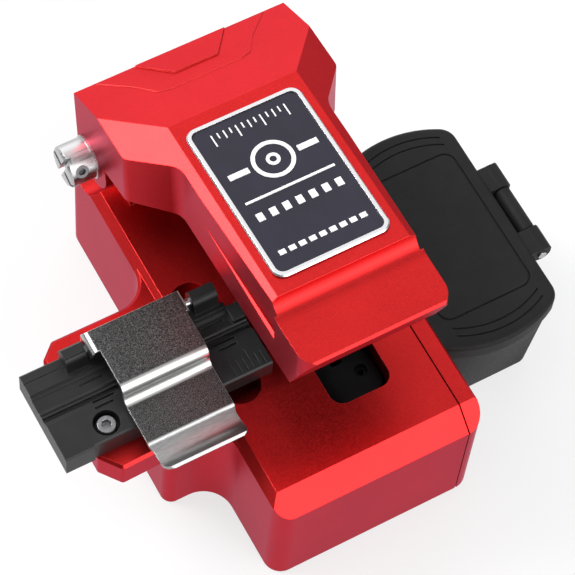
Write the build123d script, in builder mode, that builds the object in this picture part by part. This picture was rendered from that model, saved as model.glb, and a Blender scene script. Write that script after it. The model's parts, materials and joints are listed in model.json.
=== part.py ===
from build123d import *
import os
from math import sin, cos, tan, radians, sqrt, pi

os.makedirs("parts", exist_ok=True)

# ---------------------------------------------------------------- dimensions
# Base block.  Origin: centre of the rest face.  X right, Y back, Z up, mm.
XL, XR = -25.0, 25.0            # left and right faces
YF, YB = -48.5, 48.5            # front and back faces
ZT = 33.7                       # top of the base
ZB = 0.8                        # underside of the metal, above the rubber pad
PLATE_X = 20.7                  # inner face of the right side plate
CHAM_Y, CHAM_Z = 5.35, 4.5      # front top chamfer
EDGE_CH = 2.0                   # chamfer along the left top edge
SEAM = 0.3                      # open seam between block and side plate
COL_X, COL_YF, COL_YB = -37.6, -23.0, 10.0    # column under the holder
WING_X, WING_Z = -52.0, 25.0    # wing that carries the holder
WT = 32.4                       # top of the column and the wing
WING_CH = 0.65                  # chamfer round the wing's top
WIN = (-2.6, 11.5, -32.0, 18.0)               # window for the blade carriage

# Lever hinge
HY, HZ = 37.8, 49.3             # hinge axis, along X
TILT = 5.66                     # lever tilt, front up, at rest
SWING = 22.66                   # swing to the closed position
SHAFT_R = 3.0
FIT = 0.05                      # radial running clearance

# Fibre line
FIB_Y, FIB_Z = -7.1, 38.0

# Blade
BLADE_R, BLADE_T = 7.5, 1.0
BLADE_X = 4.5
BLADE_Y, BLADE_Z = -12.95, 30.4

# Holder
HOLD = (-59.3, -10.7, -18.5, 2.9)
HOLD_Z = 38.6
CLIP_Y, CLIP_Z = 1.1, 41.0      # clip pivot, along X

# Collector
CB_Y = -5.0                     # its centre line
LID_Z0, LID_Z1 = 24.7, 29.0
LH_X, LH_Z = 58.0, 26.3         # lid hinge, along Y

ct, st = cos(radians(TILT)), sin(radians(TILT))
ca, sa = cos(radians(SWING - TILT)), -sin(radians(SWING - TILT))


def lev(v, w):
    """Lever section coordinates (back, up from the hinge) to (y, z)."""
    return (HY + v * ct + w * st, HZ - v * st + w * ct)


def closed(y, z):
    """A (y, z) point of the closed position, in lever section coordinates."""
    dy, dz = y - HY, z - HZ
    return (dy * ca - dz * sa, dy * sa + dz * ca)


def side(x0):
    """Plane of the lever's section at x0: local x is back, local y is up."""
    return Plane(origin=(x0, HY, HZ), x_dir=(0, ct, -st), z_dir=(1, 0, 0))


def plan(w0):
    """Plane parallel to the lever's top at height w0 above the hinge."""
    return Plane(origin=(0, HY + w0 * st, HZ + w0 * ct), x_dir=(1, 0, 0), z_dir=(0, st, ct))


def yz(x0):
    """Section plane at x0 in the object's own frame: local x is Y, local y is Z."""
    return Plane(origin=(x0, 0, 0), x_dir=(0, 1, 0), z_dir=(1, 0, 0))


def xz(y0):
    """Section plane at y0: local x is X, local y is Z, extrudes to the front."""
    return Plane(origin=(0, y0, 0), x_dir=(1, 0, 0), z_dir=(0, -1, 0))


def save(piece, name):
    piece.label = name
    export_step(piece, "parts/" + name + ".step")


# ---------------------------------------------------------------- base body
# column and wing on the left, flared into the block with 7 mm radii
with BuildPart() as column:
    with BuildSketch(Plane.XY.offset(ZB)) as sk_col:
        with BuildLine():
            Line((-22, COL_YB + 7), (XL, COL_YB + 7))
            ThreePointArc((XL, COL_YB + 7), (XL - 7 + 7 * cos(pi / 4), COL_YB + 7 - 7 * sin(pi / 4)), (XL - 7, COL_YB))
            Polyline((XL - 7, COL_YB), (COL_X, COL_YB), (COL_X, COL_YF), (XL - 7, COL_YF))
            ThreePointArc((XL - 7, COL_YF), (XL - 7 + 7 * cos(pi / 4), COL_YF - 7 + 7 * sin(pi / 4)), (XL, COL_YF - 7))
            Line((XL, COL_YF - 7), (-22, COL_YF - 7))
            Line((-22, COL_YF - 7), (-22, COL_YB + 7))
        make_face()
        fillet(sk_col.vertices().filter_by(lambda p: abs(p.X - COL_X) < 0.1), 2.5)
    extrude(amount=WT - ZB)
    with BuildSketch(Plane.XY.offset(WING_Z)) as sk_wing:
        with BuildLine():
            Polyline((-33.0, COL_YF), (COL_X, COL_YF), (-48.4, -23.3), (WING_X, -18.6), (WING_X, 6.7), (-48.4, COL_YB),
                     (-33.0, COL_YB), close=True)
        make_face()
        fillet(sk_wing.vertices().filter_by(lambda p: p.X < -45), 1.0)
    extrude(amount=WT - WING_Z)
    chamfer(column.faces().sort_by(Axis.Z)[-1].edges().filter_by(lambda e: e.center().X < -25.4), WING_CH)

with BuildPart() as base_body:
    with BuildSketch(Plane.XY.offset(ZB)) as sk_low:
        with BuildLine():
            Polyline((XL, YF), (PLATE_X, YF), (PLATE_X, YB), (XL, YB), close=True)
        make_face()
        fillet(sk_low.vertices().filter_by(lambda p: abs(p.X - XL) < 0.1), 4.0)
    extrude(amount=ZT - ZB)
    # chamfer along the left contour of the top
    top_edges = base_body.faces().sort_by(Axis.Z)[-1].edges().filter_by(
        lambda e: not (abs(e.center().X - PLATE_X) < 0.1) and e.center().Y > YF + 0.3 and e.center().Y < YB - 0.3)
    chamfer(top_edges, EDGE_CH)
    add(column.part)
    # front chamfer
    with BuildSketch(yz(-60)):
        with BuildLine():
            Polyline((YF - 1, ZT - CHAM_Z - 1 * CHAM_Z / CHAM_Y), (YF + CHAM_Y + 1 * CHAM_Y / CHAM_Z, ZT + 1),
                     (YF - 1, ZT + 1), close=True)
        make_face()
    extrude(amount=120, mode=Mode.SUBTRACT)
    # relief under the lever's cheeks
    with BuildSketch(yz(-26)):
        with BuildLine():
            Polyline((36.78, ZT), (36.78, ZT + 1), (YB + 1, ZT + 1), (YB + 1, 29.5), (42.5, 29.5))
            ThreePointArc((42.5, 29.5), (42.5 - 6 * sin(radians(40)), 35.5 - 6 * cos(radians(40))), (36.78, ZT))
        make_face()
    extrude(amount=7, mode=Mode.SUBTRACT)
    with BuildSketch(yz(19.0)):
        with BuildLine():
            Polyline((36.78, ZT), (36.78, ZT + 1), (YB + 1, ZT + 1), (YB + 1, 29.5), (42.5, 29.5))
            ThreePointArc((42.5, 29.5), (42.5 - 6 * sin(radians(40)), 35.5 - 6 * cos(radians(40))), (36.78, ZT))
        make_face()
    extrude(amount=7, mode=Mode.SUBTRACT)
    # hinge tower
    with BuildSketch(yz(-18.8)):
        with BuildLine():
            Line((HY - 7, ZT - 1), (HY - 7, HZ))
            ThreePointArc((HY - 7, HZ), (HY, HZ + 7), (HY + 7, HZ))
            Line((HY + 7, HZ), (HY + 7, ZT - 1))
            Line((HY + 7, ZT - 1), (HY - 7, ZT - 1))
        make_face()
    extrude(amount=37.6)
    # cavity, open below
    with BuildSketch(Plane.XY.offset(ZB)) as sk_cav:
        with BuildLine():
            Polyline((-20.5, -36), (-13, -36), (-13, -43.5), (13, -43.5), (13, -36), (16.5, -36), (16.5, 36),
                     (13, 36), (13, 44.5), (-13, 44.5), (-13, 36), (-20.5, 36), close=True)
        make_face()
    extrude(amount=26.0 - ZB, mode=Mode.SUBTRACT)
    # seat of the bottom cover
    with BuildSketch(Plane.XY.offset(ZB)):
        with Locations((-2, 0)):
            RectangleRounded(41.0, 92.0, 3)
    extrude(amount=2.0, mode=Mode.SUBTRACT)
    # window for the blade
    with BuildSketch(Plane.XY.offset(25)):
        with Locations(((WIN[0] + WIN[1]) / 2, (WIN[2] + WIN[3]) / 2)):
            RectangleRounded(WIN[1] - WIN[0], WIN[3] - WIN[2], 3.0)
    extrude(amount=10, mode=Mode.SUBTRACT)
    # slot for the drive arm
    with BuildSketch(Plane.XY.offset(25)):
        with Locations((4.5, 35.1)):
            Rectangle(6.0, 17.0)
    extrude(amount=18, mode=Mode.SUBTRACT)
    with Locations((4.5, HY, HZ)):
        Box(6.0, 16.0, 15.0, mode=Mode.SUBTRACT)
    # slot for the lever spring
    with Locations((-10.4, HY, HZ + 1)):
        Box(7.2, 16.0, 16.0, mode=Mode.SUBTRACT)
    # bore: clearance round the shaft, seats for the bushes
    with Locations(Location((0, HY, HZ), (0, 90, 0))):
        Cylinder(SHAFT_R + 0.4, 40, mode=Mode.SUBTRACT)
    with Locations(Location((-16.4, HY, HZ), (0, 90, 0)), Location((16.4, HY, HZ), (0, 90, 0))):
        Cylinder(4.5, 4.8, mode=Mode.SUBTRACT)
    # bores of the guide rods
    with Locations(Location((-7.5, 0.5, 11), (90, 0, 0)), Location((10, 0.5, 11), (90, 0, 0))):
        Cylinder(2.0, 93, mode=Mode.SUBTRACT)
    # finger relief at the holder's end
    with BuildSketch(Plane.XY.offset(ZT - 6)):
        with Locations((-18, -6.85)):
            SlotCenterToCenter(22.3, 8.8, rotation=90)
    extrude(amount=8, mode=Mode.SUBTRACT)
    # holder screw holes, clamp screw holes, cover screw holes, side plate screw holes
    with Locations((-48.0, -14.9, 30.5), (-28.0, -14.9, 30.5)):
        Cylinder(1.25, 8, mode=Mode.SUBTRACT)
    with Locations((-6.3, -11.2, 31.7), (-6.3, -1.4, 31.7), (14.5, -11.2, 31.7), (14.5, -1.4, 31.7)):
        Cylinder(0.8, 6, mode=Mode.SUBTRACT)
    with Locations((-17, -41, 5), (13.8, -41, 5), (-17, 41, 5), (13.8, 41, 5)):
        Cylinder(1.25, 9, mode=Mode.SUBTRACT)
    with Locations(*[Location((18.2, y, z), (0, 90, 0)) for y in (-40, 40) for z in (12, 24)]):
        Cylinder(1.25, 9, mode=Mode.SUBTRACT)
save(base_body.part, "base_body")

# ---------------------------------------------------------------- side plate
with BuildPart() as side_plate:
    with BuildSketch(Plane.XY.offset(ZB)) as sk_sp:
        with BuildLine():
            Polyline((PLATE_X, YF), (XR, YF), (XR, YB), (PLATE_X, YB), close=True)
        make_face()
        fillet(sk_sp.vertices().filter_by(lambda p: abs(p.X - XR) < 0.1), 4.2)
    extrude(amount=ZT - ZB)
    chamfer(side_plate.faces().sort_by(Axis.Z)[-1].edges().filter_by(
        lambda e: abs(e.center().X - PLATE_X) > 0.3 and abs(e.center().Y) < YB - 0.05), 0.5)
    with BuildSketch(yz(19)):
        with BuildLine():
            Polyline((YF - 1, ZT - CHAM_Z - 1 * CHAM_Z / CHAM_Y), (YF + CHAM_Y + 1 * CHAM_Y / CHAM_Z, ZT + 1),
                     (YF - 1, ZT + 1), close=True)
        make_face()
    extrude(amount=10, mode=Mode.SUBTRACT)
    with BuildSketch(yz(19)):
        with BuildLine():
            Polyline((36.78, ZT), (36.78, ZT + 1), (YB + 1, ZT + 1), (YB + 1, 29.5), (42.5, 29.5))
            ThreePointArc((42.5, 29.5), (42.5 - 6 * sin(radians(40)), 35.5 - 6 * cos(radians(40))), (36.78, ZT))
        make_face()
    extrude(amount=10, mode=Mode.SUBTRACT)
    with Locations(*[Location((23, y, z), (0, 90, 0)) for y in (-40, 40) for z in (12, 24)]):
        Cylinder(1.25, 8, mode=Mode.SUBTRACT)
    with Locations(*[Location((23.85, y, z), (0, 90, 0)) for y in (-40, 40) for z in (12, 24)]):
        Cone(1.25, 2.4, 1.15, mode=Mode.SUBTRACT)
    with Locations(*[Location((24.7, y, z), (0, 90, 0)) for y in (-40, 40) for z in (12, 24)]):
        Cylinder(2.4, 0.6, mode=Mode.SUBTRACT)
    with Locations(*[Location((23.6, y, 12), (0, 90, 0)) for y in (-20, 10)]):
        Cylinder(1.25, 5.4, mode=Mode.SUBTRACT)
    # seam line: the inner rim stands off the block
    with BuildSketch(yz(PLATE_X - 0.1)):
        with Locations((0, ZT / 2)):
            Rectangle(100, 40)
        with BuildLine():
            Polyline((YF + 1.0, ZB + 1), (YF + 1.0, ZT - CHAM_Z - 0.4), (YF + CHAM_Y + 0.6, ZT - 1.2), (35.5, ZT - 1.2),
                     (36.5, 29.0), (40.0, 28.2), (YB - 1.0, 28.2), (YB - 1.0, ZB + 1), close=True)
        make_face(mode=Mode.SUBTRACT)
    extrude(amount=0.1 + SEAM, mode=Mode.SUBTRACT)
save(side_plate.part, "side_plate")

with BuildPart() as side_plate_screws:
    with Locations(*[Location((18.55, y, z), (0, 90, 0)) for y in (-40, 40) for z in (12, 24)]):
        Cylinder(1.25, 9.6)
    with Locations(*[Location((23.85, y, z), (0, 90, 0)) for y in (-40, 40) for z in (12, 24)]):
        Cone(1.25, 2.4, 1.15)
    with Locations(*[Location((24.55, y, z), (0, 90, 0)) for y in (-40, 40) for z in (12, 24)]):
        Cylinder(2.4, 0.25)
    for y in (-40, 40):
        for z in (12, 24):
            with BuildSketch(Plane(origin=(24.9, y, z), x_dir=(0, 1, 0), z_dir=(1, 0, 0))):
                RegularPolygon(0.85, 6)
            extrude(amount=-1.2, mode=Mode.SUBTRACT)
save(side_plate_screws.part, "side_plate_screws")

# ---------------------------------------------------------------- bottom
with BuildPart() as bottom_cover:
    with BuildSketch(Plane.XY.offset(ZB)):
        with Locations((-2, 0)):
            RectangleRounded(40.8, 91.8, 2.9)
    extrude(amount=2.0)
    with Locations((-17, -41, 1.8), (13.8, -41, 1.8), (-17, 41, 1.8), (13.8, 41, 1.8)):
        Cylinder(1.3, 4, mode=Mode.SUBTRACT)
    with Locations((-17, -41, 1.4), (13.8, -41, 1.4), (-17, 41, 1.4), (13.8, 41, 1.4)):
        Cone(2.8, 1.3, 1.2, mode=Mode.SUBTRACT)
save(bottom_cover.part, "bottom_cover")

with BuildPart() as bottom_cover_screws:
    with Locations((-17, -41, 5), (13.8, -41, 5), (-17, 41, 5), (13.8, 41, 5)):
        Cylinder(1.25, 7)
    with Locations((-17, -41, 1.5), (13.8, -41, 1.5), (-17, 41, 1.5), (13.8, 41, 1.5)):
        Cone(2.4, 1.25, 1.0)
save(bottom_cover_screws.part, "bottom_cover_screws")

with BuildPart() as rubber_pad:
    with BuildSketch():
        with Locations((-2, 0)):
            RectangleRounded(39.0, 90.0, 4.0)
        with Locations((-17, -41), (13.8, -41), (-17, 41), (13.8, 41)):
            Circle(3.0, mode=Mode.SUBTRACT)
    extrude(amount=ZB)
save(rubber_pad.part, "rubber_pad")

# ---------------------------------------------------------------- hinge
with BuildPart() as hinge_bushes:
    with Locations(Location((-16.4, HY, HZ), (0, 90, 0)), Location((16.4, HY, HZ), (0, 90, 0))):
        Cylinder(4.5, 4.8)
        Cylinder(SHAFT_R + FIT, 6, mode=Mode.SUBTRACT)
save(hinge_bushes.part, "hinge_bushes")

with BuildPart() as hinge_shaft:
    with Locations(Location(((-30.0 + 24.6) / 2, HY, HZ), (0, 90, 0))):
        Cylinder(SHAFT_R, 54.6)
    chamfer(hinge_shaft.edges().filter_by(GeomType.CIRCLE), 0.4)
save(hinge_shaft.part, "hinge_shaft")

SCREW_DIR = (0, -cos(radians(30)), sin(radians(30)))
with BuildPart() as hinge_collar:
    with Locations(Location((-28.5, HY, HZ), (0, 90, 0))):
        Cylinder(4.7, 6.0)
    chamfer(hinge_collar.edges().filter_by(GeomType.CIRCLE).sort_by(Axis.X)[0], 0.5)
    with Locations(Location((-25.3, HY, HZ), (0, 90, 0))):
        Cylinder(5.0, 0.6)
    with Locations(Location((-27.6, HY, HZ), (0, 90, 0))):
        Cylinder(SHAFT_R + 0.01, 5.2, mode=Mode.SUBTRACT)
    # crossed slots in the end
    with Locations(Location((-31.0, HY, HZ), (20, 0, 0))):
        Box(2.2, 1.5, 12, mode=Mode.SUBTRACT)
        Box(2.2, 12, 1.5, mode=Mode.SUBTRACT)
    with BuildSketch(Plane(origin=(-28.75, HY, HZ), x_dir=(1, 0, 0), z_dir=SCREW_DIR)):
        Circle(1.5)
    extrude(amount=6, mode=Mode.SUBTRACT)
save(hinge_collar.part, "hinge_collar")

with BuildPart() as collar_set_screw:
    with BuildSketch(Plane(origin=(-28.75, HY - 3.05 * cos(radians(30)), HZ + 3.05 * sin(radians(30))),
                           x_dir=(1, 0, 0), z_dir=SCREW_DIR)):
        Circle(1.5)
    extrude(amount=1.6)
    with BuildSketch(Plane(origin=(-28.75, HY - 4.65 * cos(radians(30)), HZ + 4.65 * sin(radians(30))),
                           x_dir=(1, 0, 0), z_dir=SCREW_DIR)):
        RegularPolygon(0.85, 6)
    extrude(amount=-1.0, mode=Mode.SUBTRACT)
save(collar_set_screw.part, "collar_set_screw")

# drive arm: hangs from the shaft and moves the blade carriage
ARM_R, ARM_A = 30.0, 18.0        # pin radius, angle in front of vertical at rest
PIN_Y, PIN_Z = HY - ARM_R * sin(radians(ARM_A)), HZ - ARM_R * cos(radians(ARM_A))
arm_plane = Plane(origin=(2.2, HY, HZ), x_dir=(0, cos(radians(ARM_A)), -sin(radians(ARM_A))), z_dir=(1, 0, 0))
with BuildPart() as drive_arm:
    with BuildSketch(arm_plane):
        Circle(6.0)
        with BuildLine():
            Polyline((-2.8, 0), (2.8, 0), (2.4, -ARM_R), (-2.4, -ARM_R), close=True)
        make_face()
        with Locations((0, -ARM_R)):
            Circle(2.6)
    extrude(amount=4.6)
    with BuildSketch(arm_plane):
        Circle(SHAFT_R + 0.01)
        with Locations((0, -ARM_R)):
            Circle(1.5)
    extrude(amount=4.6, mode=Mode.SUBTRACT)
save(drive_arm.part, "drive_arm")

with BuildPart() as drive_pin:
    with Locations(Location((4.5, PIN_Y, PIN_Z), (0, 90, 0))):
        Cylinder(1.5, 10.4)
save(drive_pin.part, "drive_pin")

# lever spring: torsion coil round the shaft, in the tower's left slot
with BuildPart() as lever_spring:
    with BuildLine(Plane.XY) as ls_path:
        Helix(pitch=1.3, height=5.2, radius=4.4)
    with BuildSketch(Plane(origin=ls_path.line @ 0, z_dir=ls_path.line % 0)):
        Circle(0.55)
    sweep(is_frenet=True)
lever_spring_part = lever_spring.part.locate(Location((-13.0, HY, HZ), (0, 90, 0)))
save(lever_spring_part, "lever_spring")

# ---------------------------------------------------------------- lever
LW_TOP = 25.46                   # label plane above the hinge
K = (5.7, 15.64)
M = (-17.9, LW_TOP)
with BuildPart() as lever:
    with BuildSketch(side(-25)) as sk_side:
        with BuildLine():
            Polyline((5.7, -4.6), K, M, (-64.2, LW_TOP))
            ThreePointArc((-64.2, LW_TOP), (-65.9, 22.75), (-68.6, 21.9))
            Polyline((-68.6, 21.9), (-78.6, 21.47), (-79.1, 20.9), (-72.9, 7.1), (-27.0, 7.2), (-15.5, 5.1), (-6.8, 3.45),
                     (-6.8, 0), (5.7, -4.6))
        make_face()
        Circle(7.5)
        with Locations((5.7 + 5, 0)):
            Rectangle(10, 40, mode=Mode.SUBTRACT)
        with BuildLine():
            Polyline((5.6, -4.6), (5.7, -4.6), K, (5.6, 15.6), close=True)
        make_face()
    extrude(amount=50)
    with BuildSketch(plan(-12)) as sk_plan:
        with BuildLine():
            Polyline((-25, 6.5), (25, 6.5), (25, -17.3), (17, -27.2), (17, -60), (16.8, -79.7), (-16.8, -79.7), (-17, -60),
                     (-17, -27.2), (-25, -17.3), close=True)
        make_face()
        fillet(sk_plan.vertices().filter_by(lambda p: abs(abs(p.X) - 25) < 0.1 and p.Y < 0), 2.5)
        fillet(sk_plan.vertices().filter_by(lambda p: p.Y < -79), 4.6)
        fillet(sk_plan.vertices().filter_by(lambda p: abs(abs(p.X) - 17) < 0.1 and -28 < p.Y < -26), 6.0)
    extrude(amount=42, mode=Mode.INTERSECT)
    # side facets of the top
    with BuildSketch(Plane(origin=(0, HY + 8 * ct, HZ - 8 * st), x_dir=(1, 0, 0), z_dir=(0, -ct, st))):
        for s in (-1, 1):
            with BuildLine():
                Polyline((s * 14.94, LW_TOP), (s * 26, LW_TOP - 0.51 * 11.06), (s * 26, LW_TOP + 2),
                         (s * 14.94, LW_TOP + 2), close=True)
            make_face()
    extrude(amount=90, mode=Mode.SUBTRACT)
    # room for the hinge tower
    with BuildSketch(side(-19.1)):
        with BuildLine():
            Polyline((-9.5, -12), (6.5, -12), (6.5, 8.0), (-7.5, 8.0), (-9.5, 6.0), close=True)
        make_face()
    extrude(amount=38.2, mode=Mode.SUBTRACT)
    # hollow arm, open below
    with BuildSketch(side(-14.2)):
        with BuildLine():
            Polyline((-61, 5), (-24, 5), (-24, 22.2), (-61, 22.2), close=True)
        make_face()
        with BuildLine():
            Polyline((-68.5, 5), (-60, 5), (-60, 18.0), (-68.5, 18.0), close=True)
        make_face()
    extrude(amount=28.4, mode=Mode.SUBTRACT)
    # hinge bore
    with Locations(Location((0, HY, HZ), (0, 90, 0))):
        Cylinder(SHAFT_R + 0.01, 60, mode=Mode.SUBTRACT)
    # scallops in the arm's sides: a sloped ledge, deepest at the front
    for sg in (-1, 1):
        for v, x, w in ((-66.4, 16.2, 14.4), (-35.9, 17.0, 16.98)):
            with BuildSketch(Plane(origin=(0, HY + v * ct, HZ - v * st), x_dir=(1, 0, 0), z_dir=(0, -ct, st))):
                with BuildLine():
                    Polyline((sg * 18.5, w - 0.765), (sg * x, w + 0.51 * (17.0 - x)), (sg * x, w + 12.0), (sg * 18.5, w + 12.0),
                             close=True)
                make_face()
        loft(ruled=True, mode=Mode.SUBTRACT)
    # raised shapes on the back slope
    kd = sqrt(23.6 ** 2 + 9.82 ** 2)
    nv, nw = 9.82 / kd, 23.6 / kd
    slope = Plane(origin=(0, HY + K[0] * ct + K[1] * st, HZ - K[0] * st + K[1] * ct), x_dir=(1, 0, 0),
                  z_dir=(0, nv * ct + nw * st, -nv * st + nw * ct))
    with BuildSketch(slope.offset(-0.5)):
        with BuildLine():
            Polyline((-20.0, -0.3), (-14.0, -7.1), (-10.9, -12.3), (-8.3, -13.2), (8.3, -13.2), (10.9, -12.3), (14.0, -7.1),
                     (20.0, -0.3), close=True)
        make_face()
    extrude(amount=0.62)
    with BuildSketch(slope.offset(-0.5)):
        with BuildLine():
            Polyline((-10.6, -0.3), (-5.1, -8.5), (5.1, -8.5), (10.6, -0.3), close=True)
        make_face()
    extrude(amount=0.95)
    # threaded holes for the clamp screws
    with BuildSketch(plan(20)):
        with Locations((-8.5, -46), (11.0, -46)):
            Circle(1.0)
    extrude(amount=4.4, mode=Mode.SUBTRACT)
save(lever.part, "lever")

# nameplate
with BuildPart() as nameplate_bezel:
    with BuildSketch(plan(LW_TOP)):
        with Locations((-0.1, -41.1)):
            RectangleRounded(26.5, 40.2, 2.6)
            RectangleRounded(24.4, 38.1, 1.7, mode=Mode.SUBTRACT)
    extrude(amount=0.7)
    chamfer(nameplate_bezel.faces().sort_by(Axis.Z)[-1].edges(), 0.3)
save(nameplate_bezel.part, "nameplate_bezel")

with BuildPart() as nameplate_panel:
    with BuildSketch(plan(LW_TOP)):
        with Locations((-0.1, -41.1)):
            RectangleRounded(24.38, 38.08, 1.69)
    extrude(amount=0.35)
save(nameplate_panel.part, "nameplate_panel")

# ---------------------------------------------------------------- upper clamp
def csec(x0):
    return side(x0)


up_dir = (0, sin(radians(SWING)), cos(radians(SWING)))     # closed-position vertical, at rest
av, aw = closed(FIB_Y, FIB_Z)
AY, AZ = lev(av, aw)                                        # fibre point carried to rest
anvil_plane = Plane(origin=(BLADE_X, AY, AZ), x_dir=(1, 0, 0), z_dir=up_dir)
with BuildPart() as upper_clamp_block:
    with BuildSketch(side(-13.6)):
        with BuildLine():
            Polyline((-55, 22.2), closed(-14.5, 50), closed(-14.5, 39.2), closed(0.5, 39.2), closed(0.5, 50), (-37, 22.2),
                     close=True)
        make_face()
    extrude(amount=27.2)
    with BuildSketch(side(-10.0)):
        with BuildLine():
            Polyline(closed(-13, 39.2), closed(-1, 39.2), closed(-1, 40.6), closed(-13, 40.6), close=True)
        make_face()
    extrude(amount=27.2)
    # anvil bore
    with BuildSketch(anvil_plane):
        Circle(2.55)
    extrude(amount=9.0, mode=Mode.SUBTRACT)
    # screw holes
    with BuildSketch(plan(-4)):
        with Locations((-8.5, -46), (11.0, -46)):
            Circle(1.0)
    extrude(amount=27, mode=Mode.SUBTRACT)
    with BuildSketch(plan(-4)):
        with Locations((-8.5, -46), (11.0, -46)):
            Circle(2.1)
    extrude(amount=12, mode=Mode.SUBTRACT)
save(upper_clamp_block.part, "upper_clamp_block")

with BuildPart() as upper_clamp_screws:
    with BuildSketch(plan(6.3)):
        with Locations((-8.5, -46), (11.0, -46)):
            Circle(1.9)
    extrude(amount=1.7)
    with BuildSketch(plan(8)):
        with Locations((-8.5, -46), (11.0, -46)):
            Circle(1.0)
    extrude(amount=16.2)
    with BuildSketch(plan(6.3)):
        with Locations((-8.5, -46), (11.0, -46)):
            RegularPolygon(0.9, 6)
    extrude(amount=1.0, mode=Mode.SUBTRACT)
save(upper_clamp_screws.part, "upper_clamp_screws")

with BuildPart() as upper_pads:
    for x0, x1 in ((-9.5, -3.1), (12.0, 17.0)):
        with BuildSketch(side(x0)):
            with BuildLine():
                Polyline(closed(-11, 38.15), closed(-3.2, 38.15), closed(-3.2, 39.2), closed(-11, 39.2), close=True)
            make_face()
        extrude(amount=x1 - x0)
    # relief where the left pad passes the screw head
    with BuildSketch(plan(-4)):
        with Locations((-8.5, -46)):
            Circle(2.1)
    extrude(amount=12, mode=Mode.SUBTRACT)
save(upper_pads.part, "upper_pads")

with BuildPart() as anvil_plunger:
    with BuildSketch(anvil_plane.offset(1.2)):
        Circle(2.5)
    extrude(amount=3.8)
    with BuildSketch(anvil_plane.offset(5.0)):
        Circle(1.3)
    extrude(amount=2.6)
save(anvil_plunger.part, "anvil_plunger")

with BuildPart() as anvil_tip:
    with BuildSketch(anvil_plane.offset(0.2)):
        Circle(2.0)
    extrude(amount=1.0)
save(anvil_tip.part, "anvil_tip")

with BuildPart() as anvil_spring:
    with BuildLine(Plane.XY) as as_path:
        Helix(pitch=0.9, height=1.9, radius=1.95)
    with BuildSketch(Plane(origin=as_path.line @ 0, z_dir=as_path.line % 0)):
        Circle(0.2)
    sweep(is_frenet=True)
anvil_spring_part = anvil_spring.part.locate(anvil_plane.offset(6.6).location)
save(anvil_spring_part, "anvil_spring")

# ---------------------------------------------------------------- lower clamp
with BuildPart() as lower_clamp_blocks:
    with Locations((-6.3, -6.3, ZT + 1.75), (14.5, -6.3, ZT + 1.75)):
        Box(5.8, 13.4, 3.5)
    chamfer(lower_clamp_blocks.edges().filter_by(Axis.X).group_by(Axis.Z)[-1], 0.6)
    with Locations((-6.3, -11.2, ZT + 1.75), (-6.3, -1.4, ZT + 1.75), (14.5, -11.2, ZT + 1.75), (14.5, -1.4, ZT + 1.75)):
        Cylinder(0.8, 5, mode=Mode.SUBTRACT)
    with Locations((-6.3, -11.2, ZT + 3.0), (-6.3, -1.4, ZT + 3.0), (14.5, -11.2, ZT + 3.0), (14.5, -1.4, ZT + 3.0)):
        Cylinder(1.5, 2.0, mode=Mode.SUBTRACT)
save(lower_clamp_blocks.part, "lower_clamp_blocks")

with BuildPart() as lower_clamp_screws:
    with Locations((-6.3, -11.2, 32.4), (-6.3, -1.4, 32.4), (14.5, -11.2, 32.4), (14.5, -1.4, 32.4)):
        Cylinder(0.8, 6.6)
    with Locations((-6.3, -11.2, 36.3), (-6.3, -1.4, 36.3), (14.5, -11.2, 36.3), (14.5, -1.4, 36.3)):
        Cylinder(1.4, 1.2)
save(lower_clamp_screws.part, "lower_clamp_screws")

with BuildPart() as lower_pads:
    with Locations((-6.3, -6.3, (ZT + 3.5 + FIB_Z) / 2), (14.5, -6.3, (ZT + 3.5 + FIB_Z) / 2)):
        Box(5.4, 6.4, FIB_Z - ZT - 3.5)
save(lower_pads.part, "lower_pads")

# ---------------------------------------------------------------- blade carriage
with BuildPart() as guide_rods:
    with Locations(Location((-7.5, 0.5, 11), (90, 0, 0)), Location((10, 0.5, 11), (90, 0, 0))):
        Cylinder(2.0, 92.6)
save(guide_rods.part, "guide_rods")

with BuildPart() as blade_carriage:
    with Locations((1.5, -16, 12)):
        Box(25, 26, 14)
    with BuildSketch(Plane.XY.offset(18)):
        with Locations((4.45, -17.25)):
            RectangleRounded(12.7, 26.5, 2.2)
    extrude(amount=29.4 - 18)
    with Locations((7.45, -12.9, 32.1)):
        Box(4.7, 10.2, 6.2)
    # tail with the fork for the drive pin
    with Locations((0.3, 12.8, 20), (8.7, 12.8, 20)):
        Box(2.6, 37.4, 9)
    with Locations((0.3, PIN_Y, 21.4), (8.7, PIN_Y, 21.4)):
        Box(2.7, 3.5, 8, mode=Mode.SUBTRACT)
    # blade slot
    with Locations((3.75, -12.7, 30)):
        Box(2.7, 17.8, 16, mode=Mode.SUBTRACT)
    # bush seats
    with Locations(Location((-7.5, -16, 11), (90, 0, 0)), Location((10, -16, 11), (90, 0, 0))):
        Cylinder(3.2, 27, mode=Mode.SUBTRACT)
    # hub screw and height screw bores
    with Locations(Location((7.1, BLADE_Y, BLADE_Z), (0, 90, 0))):
        Cylinder(1.25, 4.0, mode=Mode.SUBTRACT)
    with Locations((7.6, -25, 26)):
        Cylinder(1.5, 8, mode=Mode.SUBTRACT)
save(blade_carriage.part, "blade_carriage")

with BuildPart() as carriage_bushes:
    with Locations(*[Location((x, y, 11), (90, 0, 0)) for x in (-7.5, 10) for y in (-25.5, -6.5)]):
        Cylinder(3.2, 7.0)
        Cylinder(2.0 + FIT, 8.0, mode=Mode.SUBTRACT)
save(carriage_bushes.part, "carriage_bushes")

with BuildPart() as blade_height_screw:
    with Locations((7.6, -25, 25.4)):
        Cylinder(1.5, 6)
    with BuildSketch(Plane.XY.offset(28.4)):
        with Locations((7.6, -25)):
            RegularPolygon(0.8, 6)
    extrude(amount=-1.2, mode=Mode.SUBTRACT)
save(blade_height_screw.part, "blade_height_screw")

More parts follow.
